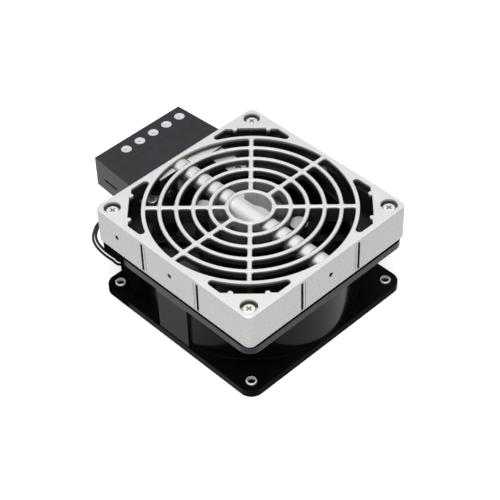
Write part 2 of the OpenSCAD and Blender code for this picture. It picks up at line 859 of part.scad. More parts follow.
// Pan head with a cross recess, seated at z = 0, above a plain shank
module pan_screw(head_r, head_h, shank_r, shank_l) {
  crown_r = head_h * 0.4;
  recess_w = head_r * 0.26;
  recess_l = head_r * 1.05;
  recess_depth = head_h * 0.5;
  difference() {
    union() {
      rotate_extrude()
        union() {
          square([head_r, head_h - crown_r]);
          square([head_r - crown_r, head_h]);
          translate([head_r - crown_r, head_h - crown_r])
            circle(r = crown_r);
        }
      translate([0, 0, -shank_l])
        cylinder(r = shank_r, h = shank_l + head_h / 4);
    }
    for (a = [0, 90])
      rotate([0, 0, a])
        translate([-recess_l / 2, -recess_w / 2, head_h - recess_depth])
          cube([recess_l, recess_w, recess_depth + eps]);
  }
}

module corner_screws() {
  color("lightgray")
    at_corners()
      translate([0, 0, seat_z])
        pan_screw(screw_head_r, screw_head_h, screw_r, seat_z - screw_tip_z);
}

// Heating element and safety parts

module cartridge_heater() {
  plug_l = 3;
  plug_wall = 0.4;
  lead_hole_r = lead_r + fit_gap;
  end_y = half_w - cartridge_inset;
  color("silver")
    translate([0, 0, tube_z])
      difference() {
        union() {
          bore_y(cartridge_r, end_y - cartridge_l, end_y);
          bore_y(cartridge_r - plug_wall, end_y - eps, end_y + plug_l - eps);
        }
        for (side = [-1, 1])
          translate([side * heater_lead_x, 0, 0])
            bore_y(lead_hole_r, heater_lead_y, half_w);
      }
}

module heater_leads() {
  color("white")
    for (route = heater_lead_routes)
      lead(route);
}

module thermal_cutout() {
  plate_w = 8;
  blade_w = 3;
  blade_thick = 0.8;
  color("dimgray")
    difference() {
      union() {
        translate([lug_x, cutout_y, lug_z - cutout_cap_h])
          cylinder(r = cutout_cap_r, h = cutout_cap_h);
        translate([lug_x, cutout_y, lug_z - cutout_cap_h - cutout_body_h])
          cylinder(r = cutout_body_r, h = cutout_body_h + eps / 2);
        translate([lug_x - plate_w / 2, lug_hole_y, lug_z - cutout_plate_t])
          cube([plate_w, cutout_y - lug_hole_y, cutout_plate_t]);
        translate([lug_x, lug_hole_y, lug_z - cutout_plate_t])
          cylinder(r = plate_w / 2, h = cutout_plate_t);
        for (side = [-1, 1])
          translate([lug_x + side * cutout_blade_x - blade_w / 2, cutout_y - blade_thick / 2,
              lug_z - cutout_cap_h - cutout_body_h - cutout_blade_l])
            cube([blade_w, blade_thick, cutout_blade_l + eps / 2]);
      }
      translate([lug_x, lug_hole_y, lug_z - cutout_plate_t - eps])
        cylinder(r = lug_hole_r, h = cutout_plate_t + 2 * eps);
    }
}

module cutout_screw() {
  thread_share = 0.6;
  shank_l = cutout_plate_t + lug_t * thread_share;
  color("lightgray")
    translate([lug_x, lug_hole_y, lug_z - cutout_plate_t])
      mirror([0, 0, 1])
        pan_screw(cutout_screw_head_r, cutout_screw_head_h, lug_hole_r - thread_gap, shank_l);
}

module cutout_leads() {
  color("dimgray")
    for (route = cutout_lead_routes)
      lead(route);
}

module earth_screw() {
  color("silver")
    translate([-earth_x, earth_y, earth_z + earth_lug_t])
      pan_screw(earth_screw_head_r, earth_screw_head_h, earth_screw_r, earth_thread_l);
}

module earth_lead() {
  barrel_w = 2.4;
  barrel_h = 1.6;
  color("yellowgreen")
    union() {
      translate([-earth_x, earth_y, earth_z])
        tube(earth_r, earth_screw_r + fit_gap, earth_lug_t);
      translate([-earth_x + earth_r - barrel_w / 4, earth_y - barrel_w / 2, earth_z])
        cube([barrel_w, barrel_w, barrel_h]);
      lead(earth_lead_route);
    }
}

// Air guide between casting and fan

module octagon(half, corner_sum) {
  intersection() {
    square(2 * half, center = true);
    rotate(45)
      square(corner_sum * sqrt(2), center = true);
  }
}

module air_guide() {
  cut_gap = 2.5;
  boss_gap = 1;
  cut_left = earth_x + earth_r + cut_gap;
  cut_right = ledge_right + cut_gap;
  tube_cut = tube_r + boss_gap;
  boss_cut = side_boss_r + boss_gap;
  wall_h = guide_top_z - casting_z;
  color("black")
    difference() {
      union() {
        translate([0, 0, fan_depth])
          linear_extrude(plate_t)
            rounded_square(half_w - plate_inset, casting_corner_r);
        translate([0, 0, casting_z - eps])
          linear_extrude(wall_h + eps)
            octagon(guide_half, guide_corner);
      }
      translate([0, 0, fan_depth - eps])
        cylinder(r = guide_opening_r - guide_wall, h = plate_t + 2 * eps);
      translate([0, 0, casting_z])
        linear_extrude(wall_h + eps)
          octagon(guide_half - guide_wall, guide_corner - guide_wall * sqrt(2));
      at_corners()
        translate([0, 0, fan_depth - eps])
          cylinder(r = screw_hole_r, h = plate_t + 2 * eps);
      translate([-cut_left, guide_half - 2 * guide_wall, casting_z])
        cube([cut_left + cut_right, 3 * guide_wall, wall_h + eps]);
      translate([-tube_cut, -guide_half - eps, tube_z - tube_cut])
        cube([2 * tube_cut, guide_wall + 2 * eps, 3 * tube_cut]);
      for (side = [-1, 1])
        translate([side * guide_half - guide_wall - eps, -boss_cut, top_z - side_hole_drop - boss_cut])
          cube([2 * (guide_wall + eps), 2 * boss_cut, 4 * boss_cut]);
    }
}

// Fan

module flange(z) {
  translate([0, 0, z])
    linear_extrude(flange_t)
      rounded_square(half_w, flange_corner_r);
}

// Concave fillet around the duct, standing on z = 0
module duct_foot() {
  intersection() {
    rotate_extrude()
      translate([duct_r - eps / 2, -eps / 2])
        difference() {
          square(foot_r + eps / 2);
          translate([foot_r + eps / 2, foot_r + eps / 2])
            circle(r = foot_r);
        }
    translate([0, 0, -eps])
      linear_extrude(foot_r + 2 * eps)
        rounded_square(half_w, flange_corner_r);
  }
}

module fan_struts() {
  translate([0, 0, motor_plate_z])
    cylinder(r = motor_r, h = motor_plate_t);
  for (a = diagonals)
    rotate([0, 0, a])
      translate([motor_r - 2 * eps, -strut_w / 2, motor_plate_z])
        cube([duct_r - motor_r + eps, strut_w, motor_plate_t]);
}

// Wall that closes off a pocket between the flanges, where the leads reach the duct
module lead_pocket() {
  path = [pocket_root, pocket_bend, pocket_end];
  translate([0, 0, flange_t - eps])
    linear_extrude(upper_flange_z - flange_t + 2 * eps)
      for (i = [0, 1])
        let (
          along = unit(path[i + 1] - path[i]),
          inwards = pocket_wall * [along[1], -along[0]]
        )
        polygon([path[i], path[i + 1], path[i + 1] + inwards, path[i] + inwards]);
}

module fan_housing() {
  label_depth = 0.4;
  label_r = motor_r - 4;
  color([0.05, 0.05, 0.055])
    difference() {
      union() {
        difference() {
          union() {
            flange(0);
            flange(upper_flange_z);
            cylinder(r = duct_r, h = fan_depth);
            translate([0, 0, flange_t])
              duct_foot();
            translate([0, 0, upper_flange_z])
              mirror([0, 0, 1])
                duct_foot();
            translate([pad_inset - half_w, -pad_w / 2, flange_t - eps])
              cube([duct_inset + 4 * duct_wall, pad_w, upper_flange_z - flange_t + 2 * eps]);
            lead_pocket();
          }
          translate([0, 0, -eps])
            cylinder(r = duct_bore_r, h = fan_depth + 2 * eps);
          translate([0, 0, -eps])
            cylinder(r1 = duct_bore_r + inlet_bevel + eps, r2 = duct_bore_r, h = inlet_bevel + eps);
        }
        fan_struts();
      }
      at_corners()
        translate([0, 0, -eps])
          cylinder(r = bush_r, h = fan_depth + 2 * eps);
      translate([0, 0, motor_plate_z - eps])
        cylinder(r = bearing_tube_r + thread_gap, h = motor_plate_t + 2 * eps);
      translate([0, 0, fan_depth - label_depth])
        cylinder(r = label_r, h = label_depth + eps);
      rotate([0, 0, 135])
        translate([duct_bore_r - eps, -lead_hole_w / 2, lead_hole_z - lead_hole_h / 2])
          cube([duct_wall + 4 * eps, lead_hole_w, lead_hole_h]);
    }
}

module flange_bush(bore_r) {
  l = flange_t + bush_proud;
  difference() {
    rotate_extrude()
      polygon([[0, 0], [bush_r, 0], [bush_r, l - bush_bevel], [bush_r - bush_bevel, l], [0, l]]);
    translate([0, 0, -eps])
      cylinder(r = bore_r, h = l + 2 * eps);
  }
}

module flange_bushes() {
  color("silver")
    at_corners() {
      flange_bush(bush_bore_r);
      translate([0, 0, fan_depth])
        mirror([0, 0, 1])
          flange_bush(screw_r + thread_gap);
    }
}

module bearing_tube() {
  color("goldenrod")
    translate([0, 0, bearing_tube_z])
      tube(bearing_tube_r, bearing_bore_r, bearing_tube_top_z - bearing_tube_z);
}

module shaft_bearings() {
  color("darkgoldenrod")
    for (z = [bearing_tube_z, upper_bearing_z])
      translate([0, 0, z])
        tube(bearing_bore_r - thread_gap, shaft_r + shaft_gap, bearing_l);
}

module bearing_cap() {
  color("dimgray")
    translate([0, 0, bearing_tube_top_z - cap_t])
      cylinder(r = bearing_bore_r - thread_gap, h = cap_t);
}

module pole_shoe() {
  intersection() {
    difference() {
      circle(r = stator_r);
      circle(r = stator_r - shoe_t);
    }
    polygon([
      [0, 0], [2 * stator_r, -2 * stator_r * tan(shoe_angle / 2)],
      [2 * stator_r, 2 * stator_r * tan(shoe_angle / 2)]
    ]);
  }
}

module stator_core() {
  core_r = bearing_tube_r + thread_gap;
  color("slategray")
    translate([0, 0, stator_z])
      linear_extrude(stator_h)
        difference() {
          union() {
            circle(r = core_r + core_ring_t);
            for (a = diagonals)
              rotate(a) {
                translate([core_r + core_ring_t / 2, -pole_arm_w / 2])
                  square([stator_r - shoe_t / 2 - core_r - core_ring_t / 2, pole_arm_w]);
                pole_shoe();
              }
          }
          circle(r = core_r);
        }
}

module stator_coils() {
  hole_w = pole_arm_w + 2 * fit_gap;
  hole_h = stator_h + 2 * fit_gap;
  shoe_inner_r = stator_r - shoe_t;
  coil_half_w = hole_w / 2 + coil_t;
  coil_end_r = sqrt(shoe_inner_r * shoe_inner_r - coil_half_w * coil_half_w) - 2 * fit_gap;
  color("peru")
    for (a = diagonals)
      rotate([0, 0, a])
        translate([coil_from_r, 0, stator_z + stator_h / 2])
          rotate([90, 0, 90])
            linear_extrude(coil_end_r - coil_from_r)
              difference() {
                square([hole_w + 2 * coil_t, hole_h + 2 * coil_t], center = true);
                square([hole_w, hole_h], center = true);
              }
}

module fan_leads() {
  color("black")
    for (i = [0, 1])
      lead(concat(fan_lead_starts[i], fan_lead_route), i == 0 ? pair_aside : -pair_aside);
}

// Turning half of the fan

// Point of a blade: s runs along the chord, q from root to tip, face is -1 below and 1 above
function blade_point(s, q, face) =
  let (
    r = blade_root_r + (blade_tip_r - blade_root_r) * q,
    wrap = blade_wrap * (1 - blade_taper * q),
    rise = blade_h - blade_t,
    run = r * wrap * PI / 180,
    slope = norm([run, rise]),
    half_t = face * blade_t * (blade_edge + (1 - blade_edge) * sin(180 * s)) / 2,
    bow = blade_bow * sin(180 * s) * (1 - s),
    angle = wrap * (0.5 - s) + (half_t * rise / slope) / r * 180 / PI + blade_sweep * q
  )
  [r * cos(angle), r * sin(angle), blade_z + blade_t / 2 + rise * s + bow + half_t * run / slope];

module blade() {
  row = blade_steps + 1;
  sheet = row * (blade_rows + 1);
  points = [
    for (face = [-1, 1])
      for (j = [0:blade_rows])
        for (i = [0:blade_steps])
          blade_point(i / blade_steps, j / blade_rows, face)
  ];
  cells = [for (j = [0:blade_rows - 1]) for (i = [0:blade_steps - 1]) j * row + i];
  lower = [for (c = cells) each [[c, c + 1, c + row], [c + 1, c + row + 1, c + row]]];
  upper = [for (f = lower) [f[0] + sheet, f[2] + sheet, f[1] + sheet]];
  outline = concat(
    [for (i = [0:blade_steps]) i],
    [for (j = [1:blade_rows]) j * row + blade_steps],
    [for (i = [blade_steps - 1:-1:0]) blade_rows * row + i],
    [for (j = [blade_rows - 1:-1:1]) j * row]
  );
  n = len(outline);
  edge = [
    for (k = [0:n - 1])
      let (a = outline[k], b = outline[(k + 1) % n])
      each [[a, a + sheet, b], [b, a + sheet, b + sheet]]
  ];
  polyhedron(points = points, faces = concat(lower, upper, edge), convexity = 4);
}

module impeller() {
  hub_edge_r = 3;
  hub_h = rotor_top_z - hub_face_z;
  color([0.08, 0.08, 0.085])
    union() {
      difference() {
        translate([0, 0, hub_face_z])
          rotate_extrude()
            union() {
              translate([0, hub_edge_r])
                square([impeller_r, hub_h - hub_edge_r]);
              square([impeller_r - hub_edge_r, hub_edge_r + eps]);
              translate([impeller_r - hub_edge_r, hub_edge_r])
                circle(r = hub_edge_r);
            }
        translate([0, 0, cup_z])
          cylinder(r = impeller_r - hub_wall, h = hub_h);
      }
      for (k = [0:blade_count - 1])
        rotate([0, 0, k * 360 / blade_count])
          blade();
    }
}

module rotor_cup() {
  color("gray")
    difference() {
      union() {
        translate([0, 0, cup_z])
          difference() {
            cylinder(r = rotor_cup_r, h = rotor_top_z - cup_z);
            translate([0, 0, rotor_cup_t])
              cylinder(r = rotor_cup_r - rotor_cup_t, h = rotor_top_z);
          }
        translate([0, 0, cup_z])
          cylinder(r = cup_boss_r, h = rotor_cup_t + cup_boss_h);
      }
      translate([0, 0, cup_z - eps])
        cylinder(r = shaft_r + thread_gap, h = rotor_cup_t + cup_boss_h + 2 * eps);
    }
}

module rotor_ring() {
  ring_over = 0.5;
  color("darkgray")
    translate([0, 0, stator_z - ring_over])
      tube(rotor_ring_r, stator_r + air_gap, stator_h + 2 * ring_over);
}

module rotor_shaft() {
  color("lightsteelblue")
    difference() {
      translate([0, 0, cup_z])
        cylinder(r = shaft_r, h = shaft_top_z - cup_z);
      translate([0, 0, clip_z])
        tube(shaft_r + eps, shaft_groove_r, clip_t);
    }
}

module shaft_clip() {
  color("dimgray")
    translate([0, 0, clip_z])
      tube(shaft_r + clip_w, shaft_groove_r + thread_gap, clip_t - thread_gap);
}

// Terminal box

module box_outline(inset = 0) {
  polygon([
    [inset - box_root_w / 2, box_y], [box_root_w / 2 - inset, box_y],
    [box_tip_w / 2 - inset, box_tip_y - inset], [inset - box_tip_w / 2, box_tip_y - inset]
  ]);
}

module terminal_cover() {
  seam_half = 24.5;
  color([0.22, 0.22, 0.24])
    difference() {
      translate([0, 0, box_z])
        linear_extrude(box_h)
          box_outline();
      translate([0, -eps, box_z - eps])
        linear_extrude(cover_roof_z - box_z + eps)
          box_outline(cover_wall);
      translate([0, 0, box_z - eps])
        linear_extrude(cover_roof_z - box_z + eps)
          box_outline(cover_wall);
      for (x = poles) {
        translate([x, pole_y, cover_roof_z - eps])
          cylinder(r = clamp_screw_r + fit_gap, h = cover_wall + 2 * eps);
        translate([x - entry_w / 2, box_tip_y - cover_wall - eps, box_z - eps])
          cube([entry_w, cover_wall + 2 * eps, entry_z + entry_w / 2 - box_z + eps]);
      }
      translate([-seam_half, seam_y, box_top_z - seam_depth])
        cube([2 * seam_half, seam_w, seam_depth + eps]);
      translate([-box_root_w / 2 - eps, latch_y, latch_z])
        cube([box_root_w + 2 * eps, latch_l, latch_h]);
      translate([-box_root_w / 2 - eps, box_y - eps, base_top_z])
        cube([cover_wall + 3 * eps, lead_notch_l + eps, lead_notch_h]);
    }
}

module terminal_base() {
  color([0.2, 0.2, 0.22])
    difference() {
      union() {
        translate([0, 0, box_z])
          linear_extrude(base_t)
            box_outline(cover_wall + fit_gap);
        translate([-base_flange_half, box_y, box_z])
          cube([2 * base_flange_half, base_flange_t, base_t + base_flange_h]);
      }
      for (side = [-1, 1]) {
        translate([side * box_screw_x, 0, box_screw_z])
          bore_y(box_screw_r + thread_gap, box_y - eps, box_y + base_flange_t + eps);
        translate([side * wall_hole_x, 0, wall_hole_z])
          bore_y(wall_hole_r, box_y - eps, box_y + base_flange_t + eps);
      }
    }
}

module terminal_block() {
  from_x = min(poles) - block_side;
  to_x = max(poles) + block_side;
  block_h = cover_roof_z - fit_gap - base_top_z;
  cavity_w = clamp_w + 2 * fit_gap;
  cavity_l = clamp_l + 2 * fit_gap;
  color([0.25, 0.25, 0.27])
    difference() {
      translate([from_x, block_y, base_top_z])
        cube([to_x - from_x, block_l, block_h]);
      for (x = poles) {
        translate([x - cavity_w / 2, pole_y - cavity_l / 2, base_top_z - eps])
          cube([cavity_w, cavity_l, clamp_h + fit_gap + eps]);
        translate([x, pole_y, base_top_z])
          cylinder(r = clamp_screw_r + fit_gap, h = block_h + eps);
        translate([x - entry_w / 2, pole_y, entry_z - entry_w / 2])
          cube([entry_w, block_l, entry_w]);
        translate([x - rear_entry_w / 2, block_y - eps, entry_z - rear_entry_h / 2])
          cube([rear_entry_w, block_l / 2, rear_entry_h]);
      }
    }
}

module terminal_clamps() {
  color("goldenrod")
    for (x = poles)
      difference() {
        translate([x - clamp_w / 2, pole_y - clamp_l / 2, clamp_z])
          cube([clamp_w, clamp_l, clamp_h]);
        translate([x - entry_w / 2, pole_y - clamp_l, entry_z - entry_w / 2])
          cube([entry_w, 2 * clamp_l, entry_w]);
        translate([x, pole_y, entry_z])
          cylinder(r = clamp_thread_r + thread_gap, h = clamp_h);
      }
}

// Flat heads with a shallow dish and a small cross recess
module terminal_screws() {
  head_h = 2.6;
  head_drop = 0.3;
  dish_rim = 0.6;
  dish_depth = 0.4;
  recess_l = 2.6;
  recess_w = 0.7;
  recess_depth = 1.3;
  recess_angle = 35;
  thread_l = 2;
  head_z = box_top_z - head_drop - head_h;
  shank_z = clamp_z + clamp_h - thread_l;
  color("white")
    for (x = poles)
      translate([x, pole_y, 0])
        difference() {
          union() {
            translate([0, 0, head_z])
              cylinder(r = clamp_screw_r, h = head_h);
            translate([0, 0, shank_z])
              cylinder(r = clamp_thread_r, h = head_z - shank_z + eps);
          }
          translate([0, 0, head_z + head_h - dish_depth])
            cylinder(r = clamp_screw_r - dish_rim, h = dish_depth + eps);
          for (a = [recess_angle, recess_angle + 90])
            rotate([0, 0, a])
              translate([-recess_l / 2, -recess_w / 2, head_z + head_h - recess_depth])
                cube([recess_l, recess_w, recess_depth]);
        }
}

module box_screws() {
  color("lightgray")
    for (side = [-1, 1])
      translate([side * box_screw_x, ledge_y, box_screw_z])
        rotate([90, 0, 0])
          pan_screw(box_screw_head_r, box_screw_head_h, box_screw_r, half_w + base_flange_t - ledge_y);
}

heater_casting();
cartridge_heater();
heater_leads();
thermal_cutout();
cutout_screw();
cutout_leads();
earth_screw();
earth_lead();
corner_screws();
air_guide();
fan_housing();
flange_bushes();
bearing_tube();
shaft_bearings();
bearing_cap();
stator_core();
stator_coils();
fan_leads();
terminal_cover();
terminal_base();
terminal_block();
terminal_clamps();
terminal_screws();
box_screws();
impeller();
rotor_cup();
rotor_ring();
rotor_shaft();
shaft_clip();
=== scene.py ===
"""Looks of the enclosure fan heater: camera, light, leads and a procedural finish for every piece."""

import json
import math
from types import SimpleNamespace

import bpy
from mathutils import Matrix, Vector


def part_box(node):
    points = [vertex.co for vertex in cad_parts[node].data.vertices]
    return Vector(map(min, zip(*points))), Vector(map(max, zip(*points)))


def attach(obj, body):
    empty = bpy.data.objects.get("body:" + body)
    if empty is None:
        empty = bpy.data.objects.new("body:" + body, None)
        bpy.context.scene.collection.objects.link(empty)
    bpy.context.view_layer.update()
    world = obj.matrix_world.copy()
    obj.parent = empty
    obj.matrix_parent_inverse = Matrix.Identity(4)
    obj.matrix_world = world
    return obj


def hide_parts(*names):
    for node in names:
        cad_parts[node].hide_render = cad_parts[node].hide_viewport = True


MM = 0.001

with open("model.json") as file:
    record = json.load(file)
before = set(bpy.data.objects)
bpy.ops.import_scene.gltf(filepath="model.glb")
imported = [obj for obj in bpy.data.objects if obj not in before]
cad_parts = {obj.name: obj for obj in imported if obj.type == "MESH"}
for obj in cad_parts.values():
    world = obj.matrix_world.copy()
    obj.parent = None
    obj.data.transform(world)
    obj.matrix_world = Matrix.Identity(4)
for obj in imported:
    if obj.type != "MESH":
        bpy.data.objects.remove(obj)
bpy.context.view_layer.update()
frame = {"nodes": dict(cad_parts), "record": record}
nodes = frame["nodes"]

# Camera, as solved from the photograph: angles in degrees, lengths in millimetres
IMAGE_PX = 500
CAMERA_AZIMUTH = -43.136
CAMERA_ELEVATION = 43.997
CAMERA_ROLL = -1.83
CAMERA_DISTANCE = 829.857
CAMERA_SHIFT = (-0.199, -23.477)
FOCAL_PX = 1551.6
SENSOR_W = 36.0
CLIP_START_M = 0.01


def add_camera():
    """Camera that looks at the middle of the casting's top face."""
    azimuth, elevation, roll = (
        math.radians(a) for a in (CAMERA_AZIMUTH, CAMERA_ELEVATION, CAMERA_ROLL)
    )
    back = Vector(
        (
            math.sin(azimuth) * math.cos(elevation),
            -math.cos(azimuth) * math.cos(elevation),
            math.sin(elevation),
        )
    )
    level = (-back).cross(Vector((0, 0, 1))).normalized()
    upright = level.cross(-back)
    right = math.cos(roll) * level + math.sin(roll) * upright
    up = -math.sin(roll) * level + math.cos(roll) * upright
    target = Vector((0, 0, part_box("heater_casting")[1].z))
    place = target + MM * (
        back * CAMERA_DISTANCE + right * CAMERA_SHIFT[0] + up * CAMERA_SHIFT[1]
    )
    data = bpy.data.cameras.new("camera")
    data.sensor_width = SENSOR_W
    data.lens = FOCAL_PX * SENSOR_W / IMAGE_PX
    data.clip_start = CLIP_START_M
    camera = bpy.data.objects.new("camera", data)
    turn = Matrix((right, up, back)).transposed().to_4x4()
    camera.matrix_world = Matrix.Translation(place) @ turn
    bpy.context.scene.collection.objects.link(camera)
    bpy.context.scene.camera = camera


add_camera()

# Leads: the routes of part.scad, in millimetres
LEAD_R = 0.75
PAIR_ASIDE = 1.0
PAIR_SIDE = (0, 0.3, 1)
ROUTE_STEPS = 6
LEAD_BEVEL_STEPS = 3
FAN_LEAD_STARTS = (
    [(-5.6, 80, 48), (-6.8, 74.45, 46.9)],
    [(7.35, 80, 48.4), (5.55, 74.45, 47.2), (-2, 71, 45.4)],
)
FAN_LEAD_ROUTE = [
    (-12, 69.2, 45.4), (-20, 66.8, 45.2), (-28, 64.6, 45.3), (-33.4, 62.6, 45.5), (-40, 62.3, 46),
    (-47, 62.8, 45.9), (-54.3, 63.6, 43.4), (-56.4, 64.6, 39), (-57.4, 65, 34.5), (-56.8, 64.8, 30),
    (-55.2, 64.2, 25.4), (-53.1, 63.4, 21.2), (-50.9, 62.6, 17.5), (-48.4, 61.6, 13.8),
    (-46.5, 60.8, 10.5), (-43.6, 59.2, 8.6), (-41.8, 55.2, 9.2), (-42.2, 50.5, 13.5),
    (-43, 46.8, 20), (-43.4, 44.6, 27), (-43.495, 43.495, 30.9), (-40.495, 40.495, 31.7),
    (-35.995, 35.995, 32.2), (-28, 28, 32.4), (-22, 22, 32.2), (-16, 16, 31.5), (-11, 11, 30.65),
]


def smooth_route(points):
    """Catmull-Rom curve through the points of a route."""
    p = [Vector(q) for q in points]
    out = []
    for i in range(len(p) - 1):
        a, b, c, d = p[max(i - 1, 0)], p[i], p[i + 1], p[min(i + 2, len(p) - 1)]
        for k in range(ROUTE_STEPS):
            s = k / ROUTE_STEPS
            out.append(
                0.5
                * (
                    2 * b
                    + (c - a) * s
                    + (2 * a - 5 * b + 4 * c - d) * s**2
                    + (3 * b - a - 3 * c + d) * s**3
                )
            )
    return out + [p[-1]]


def moved_aside(points, aside):
    """The curve moved square to itself, by a side vector that turns along with it."""
    side = Vector(PAIR_SIDE)
    out = []
    for i, p in enumerate(points):
        along = (points[min(i + 1, len(points) - 1)] - points[max(i - 1, 0)]).normalized()
        side = (side - side.dot(along) * along).normalized()
        out.append(p + side * aside)
    return out


def lead_curve(name, points, radius):
    """Round lead as one open spline. Its points hold the radius, because bounds go by theirs."""
    data = bpy.data.curves.new(name, "CURVE")
    data.dimensions = "3D"
    data.bevel_depth = 1
    data.bevel_resolution = LEAD_BEVEL_STEPS
    data.use_fill_caps = True
    spline = data.splines.new("POLY")
    spline.points.add(len(points) - 1)
    for q, p in zip(spline.points, points):
        q.co = (*(p * MM), 1)
        q.radius = radius * MM
    spline.use_smooth = True
    lead = bpy.data.objects.new(name, data)
    bpy.context.scene.collection.objects.link(lead)
    return lead


def add_fan_leads():
    """The pair of leads from the terminal box round the corner into the fan."""
    leads = []
    for i, start in enumerate(FAN_LEAD_STARTS):
        aside = PAIR_ASIDE if i == 0 else -PAIR_ASIDE
        points = moved_aside(smooth_route(start + FAN_LEAD_ROUTE), aside)
        lead = lead_curve(f"fan_lead_{i + 1}", points, LEAD_R)
        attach(lead, "housing")
        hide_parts("fan_leads")
        leads.append(lead)
    return leads


fan_leads = add_fan_leads()


# Materials
class Finish:
    """A node material with helpers for the procedural detail of one surface."""

    def __init__(self, name, color, roughness, metallic=0.0):
        self.material = bpy.data.materials.new(name)
        self.material.use_nodes = True
        self.tree = self.material.node_tree
        self.shader = self.tree.nodes["Principled BSDF"]
        self.shader.inputs["Base Color"].default_value = (*color, 1)
        self.shader.inputs["Roughness"].default_value = roughness
        self.shader.inputs["Metallic"].default_value = metallic
        self.place = self.add("ShaderNodeTexCoord").outputs["Object"]
        self.normal = None

    def add(self, kind, **settings):
        """New node of a kind, with its settings."""
        node = self.tree.nodes.new(kind)
        for key, value in settings.items():
            setattr(node, key, value)
        return node

    def link(self, a, b):
        self.tree.links.new(a, b)

    def noise(self, size_mm, detail=3.0, rough=0.5, stretch=(1, 1, 1)):
        """Noise with features of about the given size."""
        mapping = self.add("ShaderNodeMapping")
        mapping.inputs["Scale"].default_value = stretch
        self.link(self.place, mapping.inputs["Vector"])
        noise = self.add("ShaderNodeTexNoise")
        noise.inputs["Scale"].default_value = 1 / (size_mm * MM)
        noise.inputs["Detail"].default_value = detail
        noise.inputs["Roughness"].default_value = rough
        self.link(mapping.outputs["Vector"], noise.inputs["Vector"])
        return noise.outputs["Fac"]

    def spread(self, value, low, high, start=0.3, end=0.7):
        """The value's middle range carried over to low..high."""
        node = self.add("ShaderNodeMapRange")
        node.inputs["From Min"].default_value = start
        node.inputs["From Max"].default_value = end
        node.inputs["To Min"].default_value = low
        node.inputs["To Max"].default_value = high
        self.link(value, node.inputs["Value"])
        return node.outputs["Result"]

    def blend(self, factor, a, b):
        """Number between a and b, which are numbers or sockets."""
        return self.math("ADD", a, self.math("MULTIPLY", factor, self.math("SUBTRACT", b, a)))

    def mix(self, factor, a, b):
        """Colour between a and b, which are colours or sockets."""
        node = self.add("ShaderNodeMix", data_type="RGBA")
        self.link(factor, node.inputs["Factor"])
        for value, key in ((a, 6), (b, 7)):
            if isinstance(value, tuple):
                node.inputs[key].default_value = (*value, 1)
            else:
                self.link(value, node.inputs[key])
        return node.outputs[2]

    def math(self, operation, a, b=None):
        """Result of a math node; a and b are numbers or sockets."""
        node = self.add("ShaderNodeMath", operation=operation)
        for value, socket in zip((a, b), node.inputs):
            if isinstance(value, (int, float)):
                socket.default_value = value
            elif value is not None:
                self.link(value, socket)
        return node.outputs[0]

    def axes(self, vector):
        """The three parts of a vector, without their signs."""
        split = self.add("ShaderNodeSeparateXYZ")
        self.link(vector, split.inputs[0])
        return [self.math("ABSOLUTE", out) for out in split.outputs]

    def facing(self):
        """The three parts of the true normal, without their signs."""
        return self.axes(self.add("ShaderNodeNewGeometry").outputs["True Normal"])

    def radius(self, x, y):
        """Length of the vector with the parts x and y."""
        squares = [self.math("MULTIPLY", part, part) for part in (x, y)]
        return self.math("SQRT", self.math("ADD", *squares))

    def step(self, value, start, end):
        """Soft step from 0 at the start to 1 at the end."""
        return self.spread(value, 0, 1, start, end)

    def step_mm(self, length, start, end):
        """Soft step of a length, with its start and end in millimetres."""
        return self.step(length, start * MM, end * MM)

    def product(self, *factors):
        """All the factors multiplied."""
        out = factors[0]
        for factor in factors[1:]:
            out = self.math("MULTIPLY", out, factor)
        return out

    def color(self, socket):
        self.link(socket, self.shader.inputs["Base Color"])

    def roughness(self, socket):
        self.link(socket, self.shader.inputs["Roughness"])

    def bump(self, height, depth_mm, strength=1.0):
        """Adds relief of the given depth to what is there already."""
        node = self.add("ShaderNodeBump")
        node.inputs["Strength"].default_value = strength
        node.inputs["Distance"].default_value = depth_mm * MM
        self.link(height, node.inputs["Height"])
        if self.normal is not None:
            self.link(self.normal, node.inputs["Normal"])
        self.normal = node.outputs["Normal"]
        self.link(self.normal, self.shader.inputs["Normal"])

    def rounded(self, radius_mm):
        """Softens the look of sharp edges."""
        node = self.add("ShaderNodeBevel", samples=4)
        node.inputs["Radius"].default_value = radius_mm * MM
        self.normal = node.outputs["Normal"]
        self.link(self.normal, self.shader.inputs["Normal"])


# Soft borders of the finishes: 0 at the first length and 1 at the second, in millimetres
CORNER_AXIS = 52.4
RING_FIRST_R = 12.6
RING_PITCH = 9.05
TUBE_WIDTH = (5.6, 5.2)
TUBE_END = (57, 56.5)
TUBE_TOP = (0.7, 1)
TUBE_RING_SHADE = (2.9, 1.3)
TUBE_FLANK_SHADE = (3.8, 5.1)
TUBE_PAST_HUB = (11.4, 12.8)
POCKET_NEAR = (47, 47.6)
POCKET_FAR = (57.4, 57)
POCKET_DEPTH = (1, 1.5)
WINDOW_CORNER = (46.6, 46.2)
OUTER_FACE = (59.35, 59.2)
WALL_DEPTH = (0.6, 1.8)
FLOOR_DEPTH = (4.8, 7)
FLOOR_PAST_HUB = (11, 14)
HUB_RING = (11, 12.6)
SECOND_RING = (21, 23)
SIDE_HOLE_FACE = (59.4, 59.3)
SIDE_HOLE_END = (55, 56)
SIDE_HOLE_UPPER = (8.5, 8.9)
SIDE_HOLE_LOWER = (12.3, 11.9)
LEAD_POCKET_X = (-40, -43)
LEAD_POCKET_Y = (35, 38)
LEAD_POCKET_R = (59, 60)
FLANGE_RIGHT = (10, 50)
DUCT_LEFT_TO_RIGHT = (-45, 15)
DUCT_BOTTOM = (5, 7)
DUCT_TOP = (31, 33)
RECESS_R = (2.1, 1.9)
RECESS_DEPTH = (0.5, 0.8)
BUSH_BORE_R = (2.36, 2.28)
BUSH_BORE_Z = (4, 3.3)
CLAMP_SCREW_Z = (45, 50)

